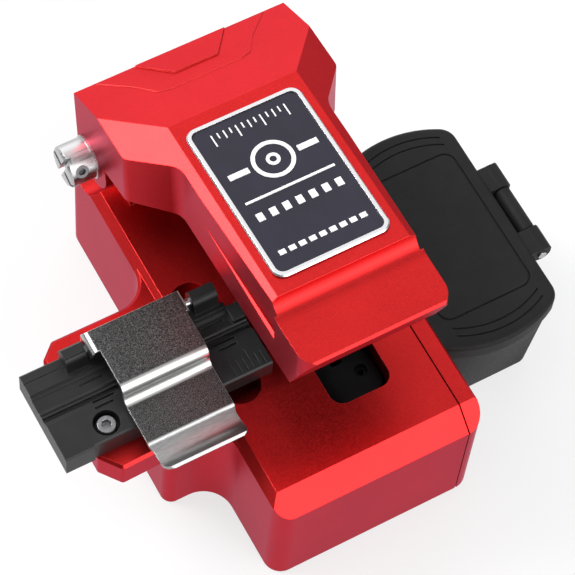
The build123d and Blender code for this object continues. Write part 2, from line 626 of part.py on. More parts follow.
with BuildPart() as blade_hub_screw:
    with Locations(Location((3.3, BLADE_Y, BLADE_Z), (0, 90, 0))):
        Cylinder(3.0, 1.2)
    with Locations(Location((4.5, BLADE_Y, BLADE_Z), (0, 90, 0))):
        Cylinder(2.0, 1.2)
    with Locations(Location((7.0, BLADE_Y, BLADE_Z), (0, 90, 0))):
        Cylinder(1.25, 3.8)
    with Locations((2.7, BLADE_Y, BLADE_Z)):
        Box(1.0, 0.7, 7, mode=Mode.SUBTRACT)
save(blade_hub_screw.part, "blade_hub_screw")

with BuildPart() as blade_wheel:
    with BuildSketch(yz(BLADE_X - BLADE_T / 2)):
        with Locations((BLADE_Y, BLADE_Z)):
            Circle(BLADE_R)
            Circle(2.0 + FIT, mode=Mode.SUBTRACT)
    extrude(amount=BLADE_T)
    chamfer(blade_wheel.edges().filter_by(lambda e: e.geom_type == GeomType.CIRCLE and e.radius > 5), 0.4, 0.8)
save(blade_wheel.part, "blade_wheel")

# ---------------------------------------------------------------- fibre holder
hx0, hx1, hy0, hy1 = HOLD
with BuildPart() as fiber_holder:
    with BuildSketch(Plane.XY.offset(ZT)):
        with BuildLine():
            Polyline((hx0, hy0), (hx1, hy0), (hx1, -2.4), (-13.4, -2.4), (-13.4, -0.9), (-15.6, -0.9), (-15.6, hy1),
                     (hx0, hy1), close=True)
        make_face()
    extrude(amount=HOLD_Z - ZT)
    # foot on the wing, and the end block past the wing's edge
    with Locations((-38.95, (hy0 + hy1) / 2, (WT + ZT + 0.5) / 2)):
        Box(27.5, hy1 - hy0, ZT + 0.5 - WT)
    with Locations(((hx0 - 52.6) / 2, (hy0 - 0.4 + hy1) / 2, (WT + HOLD_Z) / 2)):
        Box(-52.6 - hx0, hy1 - hy0 + 0.4, HOLD_Z - WT)
    chamfer(fiber_holder.faces().sort_by(Axis.Z)[-1].edges().filter_by(Axis.X), 0.4)
    # knuckles
    for x0, x1 in ((-50.1, -45.2), (-20.2, -14.5)):
        with BuildSketch(yz(x0)):
            with Locations((CLIP_Y, CLIP_Z)):
                Circle(2.0)
            with BuildLine():
                Polyline((CLIP_Y - 2.0, CLIP_Z), (CLIP_Y - 2.6, HOLD_Z - 0.5), (hy1, HOLD_Z - 0.5), (hy1, CLIP_Z + 0.9),
                         (CLIP_Y + 1.0, CLIP_Z + 2.0), (CLIP_Y - 1.0, CLIP_Z + 2.0), close=True)
            make_face()
        extrude(amount=x1 - x0)
    # block behind the tongue
    with Locations((-12.05, -4.3, HOLD_Z)):
        Box(2.7, 3.6, 0.8)
    # channel along X with stepped sides
    with BuildSketch(yz(-61)):
        with BuildLine():
            Polyline((-9.9, 39.0), (-9.9, 38.1), (-8.9, 37.9), (-8.5, 37.3), (-3.4, 37.3), (-3.0, 37.9), (-2.3, 38.1),
                     (-2.3, 39.0), close=True)
        make_face()
    extrude(amount=47.4, mode=Mode.SUBTRACT)
    with BuildSketch(yz(-13.7)):
        with BuildLine():
            Polyline((-9.9, 39.0), (-9.9, 38.1), (-8.9, 37.9), (-8.5, 37.3), (-6.2, 37.3), (-6.2, 39.0), close=True)
        make_face()
    extrude(amount=5, mode=Mode.SUBTRACT)
    # rib with the fibre groove
    with BuildSketch(yz(hx0)):
        with BuildLine():
            Polyline((-7.9, 37.2), (-7.9, FIB_Z), (-7.5, FIB_Z), (-7.1, FIB_Z - 0.45), (-6.7, FIB_Z), (-6.3, FIB_Z),
                     (-6.3, 37.2), close=True)
        make_face()
    extrude(amount=hx1 - hx0)
    # shallow grooves beside the clip
    with Locations((-45.9, -9.35, 38.3), (-17.4, -9.35, 38.3)):
        Box(5.0, 0.5, 1.6, mode=Mode.SUBTRACT)
    with Locations((-46.5, -11.0, HOLD_Z), (-17.4, -11.0, HOLD_Z)):
        Box(4.2, 0.6, 1.0, mode=Mode.SUBTRACT)
    with Locations((-46.2, -4.4, 37.4), (-17.6, -4.4, 37.4)):
        Box(5.4, 0.6, 0.9, mode=Mode.SUBTRACT)
    with Locations((-55.2, 0.6, HOLD_Z)):
        Box(8.4, 0.35, 0.4, mode=Mode.SUBTRACT)
    # scale ticks
    for x, y1 in ((-19.1, -13.5), (-17.6, -14.6), (-16.15, -14.4), (-14.9, -13.0), (-13.4, -14.6), (-12.1, -14.7)):
        with Locations((x, (-17.7 + y1) / 2, HOLD_Z)):
            Box(0.35, y1 + 17.7, 0.5, mode=Mode.SUBTRACT)
    # screw seats
    with Locations((-48.0, -14.9, 36.2), (-28.0, -14.9, 36.2)):
        Cylinder(1.3, 8, mode=Mode.SUBTRACT)
    with Locations((-48.0, -14.9, 37.3), (-28.0, -14.9, 37.3)):
        Cylinder(2.9, 3.8, mode=Mode.SUBTRACT)
    # pivot bore
    with Locations(Location((-32, CLIP_Y, CLIP_Z), (0, 90, 0))):
        Cylinder(0.9, 33.6, mode=Mode.SUBTRACT)
save(fiber_holder.part, "fiber_holder")

with BuildPart() as holder_screws:
    with Locations((-48.0, -14.9, 31.2), (-28.0, -14.9, 31.2)):
        Cylinder(1.25, 8.4)
    with Locations((-48.0, -14.9, 36.65), (-28.0, -14.9, 36.65)):
        Cylinder(2.2, 2.5)
    chamfer(holder_screws.edges().filter_by(GeomType.CIRCLE).group_by(Axis.Z)[-1], 0.3)
    with BuildSketch(Plane.XY.offset(37.9)):
        with Locations((-48.0, -14.9), (-28.0, -14.9)):
            RegularPolygon(1.15, 6)
    extrude(amount=-1.4, mode=Mode.SUBTRACT)
save(holder_screws.part, "holder_screws")

with BuildPart() as clip_pin:
    with Locations(Location((-32, CLIP_Y, CLIP_Z), (0, 90, 0))):
        Cylinder(0.9, 33.4)
save(clip_pin.part, "clip_pin")

with BuildPart() as clip_spring:
    with BuildLine(Plane.XY) as cs_path:
        Helix(pitch=0.75, height=5.25, radius=1.45)
    with BuildSketch(Plane(origin=cs_path.line @ 0, z_dir=cs_path.line % 0)):
        Circle(0.25)
    sweep(is_frenet=True)
clip_spring_part = clip_spring.part.locate(Location((-34.0, CLIP_Y, CLIP_Z), (0, 90, 0)))
save(clip_spring_part, "clip_spring")

# spring clip: bent sheet, 0.7 thick, with a curled thumb lip
T = 0.7
with BuildPart() as clip_plate:
    with BuildSketch(yz(-43.1)):
        with BuildLine():
            Line((2.6, 45.3), (-10.6, 45.3))
            ThreePointArc((-10.6, 45.3), (-12.3, 44.6), (-13.0, 43.0))
            ThreePointArc((-13.0, 43.0), (-13.6, 41.3), (-15.2, 40.6))
            Line((-15.2, 40.6), (-23.3, 40.6))
            ThreePointArc((-23.3, 40.6), (-23.9, 40.45), (-24.3, 40.1))
            ThreePointArc((-24.3, 40.1), (-28.3, 40.35), (-31.5, 43.1))
            Line((-31.5, 43.1), (-32.1, 42.65))
            ThreePointArc((-32.1, 42.65), (-28.5, 39.65), (-24.0, 39.35))
            ThreePointArc((-24.0, 39.35), (-23.7, 39.8), (-23.2, 39.9))
            Line((-23.2, 39.9), (-15.2, 39.9))
            ThreePointArc((-15.2, 39.9), (-13.1, 40.8), (-12.3, 43.0))
            ThreePointArc((-12.3, 43.0), (-11.8, 44.1), (-10.6, 44.6))
            Line((-10.6, 44.6), (2.6, 44.6))
            Line((2.6, 44.6), (2.6, 45.3))
        make_face()
    extrude(amount=20.1)
    # the lip is a little narrower, with rounded corners
    with BuildSketch(Plane.XY.offset(38)) as sk_lip:
        with BuildLine():
            Polyline((-46, -24.2), (-20, -24.2), (-20, -34), (-46, -34), close=True)
        make_face()
        with BuildLine():
            Line((-43.1, -24.2), (-42.7, -25.6))
            Line((-42.7, -25.6), (-42.7, -29.6))
            ThreePointArc((-42.7, -29.6), (-41.9, -31.5), (-40.0, -32.3))
            Line((-40.0, -32.3), (-26.1, -32.3))
            ThreePointArc((-26.1, -32.3), (-24.2, -31.5), (-23.4, -29.6))
            Line((-23.4, -29.6), (-23.4, -25.6))
            Line((-23.4, -25.6), (-23.0, -24.2))
            Line((-23.0, -24.2), (-43.1, -24.2))
        make_face(mode=Mode.SUBTRACT)
    extrude(amount=8, mode=Mode.SUBTRACT)
    # ears round the pin
    for x0, xe in ((-44.9, -44.9), (-22.9, -22.1)):
        with BuildSketch(yz(x0)):
            with BuildLine():
                Polyline((-2.4, 44.0), (-1.2, 40.4), (CLIP_Y, CLIP_Z - 0.5), (3.2, 41.0), (3.2, 44.0), (2.6, 45.3), (-2.4, 45.3),
                         close=True)
            make_face()
            with Locations((CLIP_Y, CLIP_Z)):
                Circle(1.9)
            with Locations((CLIP_Y, CLIP_Z)):
                Circle(0.9 + FIT, mode=Mode.SUBTRACT)
        extrude(amount=0.8)
    with Locations((-43.6, 0.1, 44.95), (-22.9, 0.1, 44.95)):
        Box(1.4, 5.0, 0.7)
    # rolled edges over the ears
    with BuildSketch(xz(3.4)):
        for xe, sg, r in ((-44.9, -1, 1.7), (-22.1, 1, 0.9)):
            with BuildLine():
                ThreePointArc((xe, 45.3 - r), (xe - sg * r * (1 - cos(pi / 4)), 45.3 - r * (1 - sin(pi / 4))), (xe - sg * r, 45.3))
                Polyline((xe - sg * r, 45.3), (xe - sg * r, 45.5), (xe + sg * 0.2, 45.5), (xe + sg * 0.2, 45.3 - r),
                         (xe, 45.3 - r))
            make_face()
    extrude(amount=5.9, mode=Mode.SUBTRACT)
save(clip_plate.part, "clip_plate")

with BuildPart() as clip_pad:
    with Locations((-33.05, -6.0, (38.8 + 44.6) / 2)):
        Box(18.0, 6.6, 5.8)
    chamfer(clip_pad.edges().filter_by(Axis.X).group_by(Axis.Z)[0], 0.5)
save(clip_pad.part, "clip_pad")

# ---------------------------------------------------------------- collector
with BuildPart() as collector_box:
    with BuildSketch(Plane.XY.offset(1.0)) as cb0:
        with BuildLine():
            Line((25.0, 18.6), (25.0, -28.6))
            ThreePointArc((25.0, -28.6), (38.5, -28.7), (52.1, -28.6))
            Line((52.1, -28.6), (52.1, 18.6))
            ThreePointArc((52.1, 18.6), (38.5, 18.7), (25.0, 18.6))
        make_face()
        fillet(cb0.vertices().sort_by(Axis.X)[-2:], 3.2)
    with BuildSketch(Plane.XY.offset(24.5)) as cb1:
        with BuildLine():
            Line((25.0, 18.2), (25.0, -28.2))
            ThreePointArc((25.0, -28.2), (40.3, -31.8), (54.7, -28.2))
            Line((54.7, -28.2), (54.7, 18.2))
            ThreePointArc((54.7, 18.2), (40.3, 21.8), (25.0, 18.2))
        make_face()
        fillet(cb1.vertices().sort_by(Axis.X)[-2:], 3.2)
    loft(ruled=True)
    # hollow
    with BuildSketch(Plane.XY.offset(3.0)):
        with Locations((38.3, -5)):
            RectangleRounded(22.8, 43.4, 2.0)
    with BuildSketch(Plane.XY.offset(25.0)):
        with Locations((39.3, -5)):
            RectangleRounded(25.4, 43.6, 2.0)
    loft(ruled=True, mode=Mode.SUBTRACT)
    # hinge barrel
    with BuildSketch(xz(0)):
        with BuildLine():
            Polyline((53.0, 22.3), (57.6, 22.3), (59.4, 25.1), (LH_X, LH_Z), (56.6, 24.3), (53.0, 24.3), close=True)
        make_face()
        with Locations((LH_X, LH_Z)):
            Circle(2.0)
    extrude(amount=11.0)
    with Locations(Location((LH_X, -5, LH_Z), (90, 0, 0))):
        Cylinder(1.0, 30, mode=Mode.SUBTRACT)
    with Locations(*[Location((25.8, y, 12), (0, 90, 0)) for y in (-20, 10)]):
        Cylinder(1.3, 4, mode=Mode.SUBTRACT)
save(collector_box.part, "collector_box")

with BuildPart() as collector_screws:
    with Locations(*[Location((24.0, y, 12), (0, 90, 0)) for y in (-20, 10)]):
        Cylinder(1.25, 6.0)
    with Locations(*[Location((27.75, y, 12), (0, 90, 0)) for y in (-20, 10)]):
        Cylinder(2.2, 1.5)
    for y in (-20, 10):
        with BuildSketch(Plane(origin=(28.5, y, 12), x_dir=(0, 1, 0), z_dir=(1, 0, 0))):
            RegularPolygon(1.0, 6)
        extrude(amount=-1.0, mode=Mode.SUBTRACT)
save(collector_screws.part, "collector_screws")

with BuildPart() as collector_lid:
    with BuildSketch(Plane.XY.offset(LID_Z0)) as cl0:
        with BuildLine():
            Line((25.5, 18.3), (25.5, -28.3))
            ThreePointArc((25.5, -28.3), (40.3, -32.8), (55.3, -28.3))
            Line((55.3, -28.3), (55.3, 18.3))
            ThreePointArc((55.3, 18.3), (40.3, 22.8), (25.5, 18.3))
        make_face()
        fillet(cl0.vertices().sort_by(Axis.X)[-2:], 4.2)
    extrude(amount=LID_Z1 - LID_Z0)
    fillet(collector_lid.faces().sort_by(Axis.Z)[-1].edges().filter_by(lambda e: e.center().X > 26), 1.1)
    # engraved lines of the top
    with BuildSketch(Plane.XY.offset(LID_Z1 - 0.35)):
        with Locations((40.6, -5)):
            RectangleRounded(23.2, 37.2, 3.0)
            RectangleRounded(22.2, 36.2, 2.5, mode=Mode.SUBTRACT)
        for s in (-1, 1):
            for a, e in ((23.2, 20.5), (25.2, 22.5)):
                with BuildLine():
                    ThreePointArc((30.2, -5 + s * e), (40.6, -5 + s * a), (51.8, -5 + s * e))
                    Line((51.8, -5 + s * e), (51.8, -5 + s * (e - 0.45)))
                    ThreePointArc((51.8, -5 + s * (e - 0.45)), (40.6, -5 + s * (a - 0.45)), (30.2, -5 + s * (e - 0.45)))
                    Line((30.2, -5 + s * (e - 0.45)), (30.2, -5 + s * e))
                make_face()
    extrude(amount=1, mode=Mode.SUBTRACT)
    # knuckles
    for y0, y1 in ((0.3, 6.4), (-17.4, -11.3)):
        with BuildSketch(xz(y1)):
            with Locations((LH_X, LH_Z)):
                Circle(2.3)
            with BuildLine():
                Polyline((54.0, LID_Z0), (LH_X, LID_Z0), (60.3, LH_Z), (60.3, 27.6), (59.7, 28.5), (54.0, 28.5), close=True)
            make_face()
        extrude(amount=y1 - y0)
    with Locations(Location((LH_X, -5, LH_Z), (90, 0, 0))):
        Cylinder(1.0 + FIT, 30, mode=Mode.SUBTRACT)
save(collector_lid.part, "collector_lid")

with BuildPart() as lid_hinge_pin:
    with Locations(Location((LH_X, -5.5, LH_Z), (90, 0, 0))):
        Cylinder(1.0, 24.6)
save(lid_hinge_pin.part, "lid_hinge_pin")
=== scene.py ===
import bpy
import bmesh
import json
import math
from mathutils import Matrix, Vector


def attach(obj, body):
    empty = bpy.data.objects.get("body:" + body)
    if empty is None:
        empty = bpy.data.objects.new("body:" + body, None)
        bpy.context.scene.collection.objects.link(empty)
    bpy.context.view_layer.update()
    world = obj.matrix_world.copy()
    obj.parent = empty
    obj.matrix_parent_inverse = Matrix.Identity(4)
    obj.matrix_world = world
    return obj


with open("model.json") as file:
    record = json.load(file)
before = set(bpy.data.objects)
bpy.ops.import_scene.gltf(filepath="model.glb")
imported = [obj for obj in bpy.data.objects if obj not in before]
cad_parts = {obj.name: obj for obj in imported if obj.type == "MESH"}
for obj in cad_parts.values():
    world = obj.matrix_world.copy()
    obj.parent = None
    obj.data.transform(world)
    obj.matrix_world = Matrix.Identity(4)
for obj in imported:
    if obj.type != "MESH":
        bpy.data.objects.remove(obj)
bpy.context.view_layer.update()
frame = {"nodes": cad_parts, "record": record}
nodes = frame["nodes"]
scene = bpy.context.scene
MM = 0.001


# ------------------------------------------------------------------ materials
def new_mat(name):
    m = bpy.data.materials.new(name)
    m.use_nodes = True
    nt = m.node_tree
    nt.nodes.clear()
    out = nt.nodes.new("ShaderNodeOutputMaterial")
    b = nt.nodes.new("ShaderNodeBsdfPrincipled")
    nt.links.new(b.outputs[0], out.inputs[0])
    return m, nt, b


def node(nt, kind, **kw):
    n = nt.nodes.new(kind)
    for k, v in kw.items():
        if k.startswith("in_"):
            n.inputs[k[3:].replace("_", " ")].default_value = v
        else:
            setattr(n, k, v)
    return n


def coords(nt, scale=(1, 1, 1), rot=(0, 0, 0)):
    tc = nt.nodes.new("ShaderNodeTexCoord")
    mp = nt.nodes.new("ShaderNodeMapping")
    mp.inputs["Scale"].default_value = scale
    mp.inputs["Rotation"].default_value = rot
    nt.links.new(tc.outputs["Object"], mp.inputs["Vector"])
    return mp.outputs["Vector"]


def noise(nt, vec, scale, detail=3.0, rough=0.55, dist=0.0):
    n = node(nt, "ShaderNodeTexNoise", in_Scale=scale, in_Detail=detail, in_Roughness=rough, in_Distortion=dist)
    nt.links.new(vec, n.inputs["Vector"])
    return n.outputs["Fac"]


def ramp(nt, fac, stops):
    r = nt.nodes.new("ShaderNodeValToRGB")
    els = r.color_ramp.elements
    while len(els) < len(stops):
        els.new(0.5)
    for e, (p, c) in zip(els, stops):
        e.position = p
        e.color = c if len(c) == 4 else (*c, 1)
    nt.links.new(fac, r.inputs["Fac"])
    return r.outputs["Color"]


def maprange(nt, fac, lo, hi, a=0.0, b=1.0):
    n = node(nt, "ShaderNodeMapRange")
    n.inputs["From Min"].default_value = a
    n.inputs["From Max"].default_value = b
    n.inputs["To Min"].default_value = lo
    n.inputs["To Max"].default_value = hi
    nt.links.new(fac, n.inputs["Value"])
    return n.outputs["Result"]


def mix(nt, fac, a, b, blend="MIX"):
    n = nt.nodes.new("ShaderNodeMix")
    n.data_type = "RGBA"
    n.blend_type = blend
    if isinstance(fac, (int, float)):
        n.inputs["Factor"].default_value = fac
    else:
        nt.links.new(fac, n.inputs["Factor"])
    for sock, val in (("A", a), ("B", b)):
        s = [i for i in n.inputs if i.name == sock and i.type == "RGBA"][0]
        if isinstance(val, tuple):
            s.default_value = val if len(val) == 4 else (*val, 1)
        else:
            nt.links.new(val, s)
    return [o for o in n.outputs if o.type == "RGBA"][0]


def edge_mask(nt, radius, lo=0.02, hi=0.25):
    """1 along convex and concave edges, 0 on faces: how far the rounded normal leaves the true one. The materials mix
    a lighter colour in by it: a painted highlight along edges, partly standing for edge wear.
    """
    bev = node(nt, "ShaderNodeBevel", samples=4)
    bev.inputs["Radius"].default_value = radius
    geo = nt.nodes.new("ShaderNodeNewGeometry")
    dot = node(nt, "ShaderNodeVectorMath", operation="DOT_PRODUCT")
    nt.links.new(bev.outputs["Normal"], dot.inputs[0])
    nt.links.new(geo.outputs["Normal"], dot.inputs[1])
    n = node(nt, "ShaderNodeMapRange")
    n.inputs["From Min"].default_value = 1.0 - lo
    n.inputs["From Max"].default_value = 1.0 - hi
    nt.links.new(dot.outputs["Value"], n.inputs["Value"])
    return n.outputs["Result"], bev.outputs["Normal"]


def bump(nt, b, height, strength, dist, normal=None):
    n = node(nt, "ShaderNodeBump", in_Strength=strength, in_Distance=dist)
    nt.links.new(height, n.inputs["Height"])
    if normal is not None:
        nt.links.new(normal, n.inputs["Normal"])
    nt.links.new(n.outputs["Normal"], b.inputs["Normal"])
    return n.outputs["Normal"]


def red_mat():
    m, nt, b = new_mat("red_anodised")
    v = coords(nt)
    grain = noise(nt, v, 4200, 2.0, 0.7)
    fine = noise(nt, v, 9000, 1.0, 0.5)
    cloud = noise(nt, v, 60, 2.0, 0.5)
    edge_highlight_mask, bn = edge_mask(nt, 0.00018, 0.03, 0.3)
    base = ramp(nt, cloud, [(0.3, (0.49, 0.0185, 0.0190)), (0.7, (0.54, 0.0205, 0.0212))])
    speck = ramp(nt, grain, [(0.34, (0.80, 0.80, 0.80)), (0.66, (1.06, 1.06, 1.06))])
    c = mix(nt, 1.0, base, speck, "MULTIPLY")
    edge_highlight_amount = node(nt, "ShaderNodeMath", operation="MULTIPLY")
    edge_highlight_amount.inputs[1].default_value = 0.45
    nt.links.new(edge_highlight_mask, edge_highlight_amount.inputs[0])
    # painted highlight: a salmon red mixed in along edges at up to 0.45, where tiny chamfers would catch light
    c = mix(nt, edge_highlight_amount.outputs[0], c, (0.85, 0.12, 0.11))
    nt.links.new(c, b.inputs["Base Color"])
    b.inputs["Metallic"].default_value = 1.0
    b.inputs["Specular Tint"].default_value = (0.80, 0.62, 0.74, 1)
    nt.links.new(maprange(nt, grain, 0.31, 0.42, 0.3, 0.7), b.inputs["Roughness"])
    g2 = node(nt, "ShaderNodeMath", operation="ADD")
    nt.links.new(grain, g2.inputs[0])
    nt.links.new(fine, g2.inputs[1])
    bump(nt, b, g2.outputs[0], 0.30, 0.00002, bn)
    return m


def dark_mat(name, lo, hi, rough, grain_scale, grain_strength, dist=0.00003, metallic=0.0, edge_highlight=(0.12, 0.12, 0.12),
             edge_r=0.00018, spec=0.25):
    m, nt, b = new_mat(name)
    v = coords(nt)
    g = noise(nt, v, grain_scale, 3.0, 0.6)
    cl = noise(nt, v, 140, 3.0, 0.6)
    edge_highlight_mask, bn = edge_mask(nt, edge_r)
    c = ramp(nt, cl, [(0.3, lo), (0.7, hi)])
    # painted highlight: a lighter grey mixed in along edges, partly standing for edge wear
    c = mix(nt, edge_highlight_mask, c, edge_highlight)
    nt.links.new(c, b.inputs["Base Color"])
    b.inputs["Metallic"].default_value = metallic
    b.inputs["Specular IOR Level"].default_value = spec
    nt.links.new(maprange(nt, g, rough - 0.07, rough + 0.09, 0.3, 0.7), b.inputs["Roughness"])
    bump(nt, b, g, grain_strength, dist, bn)
    return m


def steel_mat(name, col, rough, speck=0.0, speck_scale=2600, brushed=None, edge_highlight_col=(0.85, 0.85, 0.84), edge_r=0.00015,
              strength=0.2):
    m, nt, b = new_mat(name)
    v = coords(nt, brushed or (1, 1, 1))
    g = noise(nt, v, speck_scale, 2.0, 0.65)
    edge_highlight_mask, bn = edge_mask(nt, edge_r)
    lo = tuple(x * (1 - speck) for x in col)
    hi = tuple(min(1, x * (1 + speck * 0.8)) for x in col)
    c = ramp(nt, g, [(0.38, lo), (0.62, hi)])
    # painted highlight: a brighter metal colour mixed in along edges, partly standing for edge wear
    c = mix(nt, edge_highlight_mask, c, edge_highlight_col)
    nt.links.new(c, b.inputs["Base Color"])
    b.inputs["Metallic"].default_value = 1.0
    nt.links.new(maprange(nt, g, max(0.05, rough - 0.08), rough + 0.10, 0.3, 0.7), b.inputs["Roughness"])
    bump(nt, b, g, strength, 0.00002, bn)
    return m


def clip_mat():
    """Spring sheet: dark blasted flats, polished bends, satin lip and a painted highlight along the cut edges."""
    m, nt, b = new_mat("clip_steel")
    v = coords(nt)
    g = noise(nt, v, 4800, 2.0, 0.75)
    g2 = noise(nt, v, 1300, 2.0, 0.6)
    edge_highlight_mask, bn = edge_mask(nt, 0.00025)
    flat = ramp(nt, g, [(0.34, (0.008, 0.008, 0.008)), (0.50, (0.038, 0.039, 0.039)), (0.64, (0.16, 0.162, 0.162))])
    flat = mix(nt, 0.25, flat, ramp(nt, g2, [(0.35, (0.02, 0.02, 0.02)), (0.65, (0.09, 0.09, 0.09))]))
    tc = nt.nodes.new("ShaderNodeTexCoord")
    sep = nt.nodes.new("ShaderNodeSeparateXYZ")
    nt.links.new(tc.outputs["Normal"], sep.inputs[0])
    flatness = nt.nodes.new("ShaderNodeMath")
    flatness.operation = "ABSOLUTE"
    nt.links.new(sep.outputs["Z"], flatness.inputs[0])
    bend = maprange(nt, flatness.outputs[0], 1.0, 0.0, 0.945, 0.985)
    c = mix(nt, bend, flat, (0.44, 0.44, 0.435))
    pos = nt.nodes.new("ShaderNodeSeparateXYZ")
    nt.links.new(tc.outputs["Object"], pos.inputs[0])
    lip = maprange(nt, pos.outputs["Y"], 0.0, 1.0, -0.0236, -0.0241)
    satin = ramp(nt, noise(nt, coords(nt, (1, 6, 6)), 500, 2.0, 0.5), [(0.3, (0.21, 0.215, 0.215)), (0.7, (0.27, 0.275, 0.275))])
    c = mix(nt, lip, c, satin)
    # painted highlight: near-white steel mixed in along the cut edges
    c = mix(nt, edge_highlight_mask, c, (0.80, 0.80, 0.79))
    nt.links.new(c, b.inputs["Base Color"])
    b.inputs["Metallic"].default_value = 1.0
    nt.links.new(maprange(nt, bend, 0.42, 0.28), b.inputs["Roughness"])
    bump(nt, b, g, 0.2, 0.00002, bn)
    return m


def paint_white():
    m, nt, b = new_mat("white_print")
    g = noise(nt, coords(nt), 5000, 2.0, 0.6)
    nt.links.new(ramp(nt, g, [(0.3, (0.56, 0.56, 0.575)), (0.7, (0.62, 0.62, 0.63))]), b.inputs["Base Color"])
    b.inputs["Roughness"].default_value = 0.45
    return m


MATS = {
    "anodised_red": red_mat(),
    "black_anodised": dark_mat("black_anodised", (0.006, 0.006, 0.0065), (0.010, 0.010, 0.0105), 0.42, 5200, 0.2,
                               edge_highlight=(0.035, 0.035, 0.035), spec=0.25),
    "black_metal": dark_mat("black_metal", (0.002, 0.002, 0.0025), (0.004, 0.004, 0.0045), 0.45, 4200, 0.2,
                            edge_highlight=(0.008, 0.008, 0.008), spec=0.08),
    "black_plastic": dark_mat("black_plastic", (0.007, 0.007, 0.0072), (0.010, 0.010, 0.0103), 0.55, 2600, 0.5,
                              edge_highlight=(0.018, 0.018, 0.018), dist=0.00005, spec=0.16),
    "rubber_black": dark_mat("rubber_black", (0.008, 0.008, 0.008), (0.014, 0.014, 0.014), 0.75, 3000, 0.3,
                             edge_highlight=(0.02, 0.02, 0.02), spec=0.2),
    "black_screw": dark_mat("black_screw", (0.04, 0.04, 0.042), (0.07, 0.07, 0.07), 0.32, 3800, 0.25, metallic=0.8,
                            edge_highlight=(0.30, 0.30, 0.30)),
    "label_dark": dark_mat("label_dark", (0.010, 0.009, 0.017), (0.014, 0.013, 0.023), 0.35, 3000, 0.12,
                           edge_highlight=(0.02, 0.02, 0.03), spec=0.25),
    "steel_screw": steel_mat("steel_screw", (0.20, 0.20, 0.205), 0.34, 0.12, edge_highlight_col=(0.55, 0.55, 0.56)),
    "steel_pin": steel_mat("steel_pin", (0.45, 0.45, 0.45), 0.30, 0.08, 1800, (1, 8, 8)),
    "spring_steel": steel_mat("spring_steel", (0.38, 0.39, 0.41), 0.28, 0.12),
    "polished_steel": steel_mat("polished_steel", (0.46, 0.46, 0.465), 0.30, 0.05, 900, (0.25, 3, 3), edge_r=0.00008,
                                strength=0.06),
    "clip_steel": clip_mat(),
    "bright_bezel": steel_mat("bright_bezel", (0.60, 0.60, 0.615), 0.24, 0.02, 2000, edge_highlight_col=(0.72, 0.72, 0.73),
                              edge_r=0.00008, strength=0.05),
    "white_print": paint_white(),
    "bronze": steel_mat("bronze", (0.45, 0.29, 0.12), 0.36, 0.15, 3000, edge_highlight_col=(0.7, 0.5, 0.25)),
    "carbide": steel_mat("carbide", (0.30, 0.31, 0.32), 0.2, 0.08, 2400),
}
slot_of = {s["node"]: s["material_slot"] for s in frame["record"]["subparts"]}
for name, ob in nodes.items():
    m = MATS[slot_of[name]]
    if not ob.data.materials:
        ob.data.materials.append(m)
    for i in range(len(ob.material_slots)):
        ob.material_slots[i].material = m

# ------------------------------------------------------------------ lever frame
HY, HZ, TILT = 37.8, 49.3, math.radians(5.66)
ct, st = math.cos(TILT), math.sin(TILT)


def L(x, v, w):
    """Lever section coordinates in mm (right, back, up from the hinge) to the row frame in metres."""
    return Vector((x, HY + v * ct + w * st, HZ - v * st + w * ct)) * MM


def prism(name, outline, w0, h, slot, body="lever_arm", bevel=0.06):
    """A raised flat shape on the lever's top: outline is a list of (x, v)."""
    bm = bmesh.new()
    vs = [bm.verts.new(L(x, v, w0)) for x, v in outline]
    f = bm.faces.new(vs)
    bmesh.ops.recalc_face_normals(bm, faces=[f])
    r = bmesh.ops.extrude_face_region(bm, geom=[f])
    up = (L(0, 0, 1) - L(0, 0, 0)).normalized()
    top = [e for e in r["geom"] if isinstance(e, bmesh.types.BMVert)]
    bmesh.ops.translate(bm, verts=top, vec=up * (h * MM))
    bmesh.ops.recalc_face_normals(bm, faces=bm.faces)
    if bevel:
        tops = [e for e in bm.edges if all(v in top for v in e.verts)]
        bmesh.ops.bevel(bm, geom=tops, offset=bevel * MM, segments=2, profile=0.5, affect="EDGES")
    me = bpy.data.meshes.new(name)
    bm.to_mesh(me)
    bm.free()
    ob = bpy.data.objects.new(name, me)
    scene.collection.objects.link(ob)
    ob.data.materials.append(MATS[slot])
    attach(ob, body)
    return ob


def join(name, obs, body):
    """Joins small prisms into one piece."""
    for o in obs:
        o.parent = None
    dst = obs[0]
    bm = bmesh.new()
    for o in obs:
        bm.from_mesh(o.data)
    me = bpy.data.meshes.new(name)
    bm.to_mesh(me)
    bm.free()
    for o in obs:
        d = o.data
        bpy.data.objects.remove(o)
        bpy.data.meshes.remove(d)
    ob = bpy.data.objects.new(name, me)
    scene.collection.objects.link(ob)
    ob.data.materials.append(MATS["white_print"])
    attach(ob, body)
    return ob


# ------------------------------------------------------------------ nameplate graphics (generic)
PW = 25.46 + 0.34
art = []


def bar(x0, x1, v0, v1):
    art.append(prism("a", [(x0, v0), (x1, v0), (x1, v1), (x0, v1)], PW, 0.16, "white_print"))


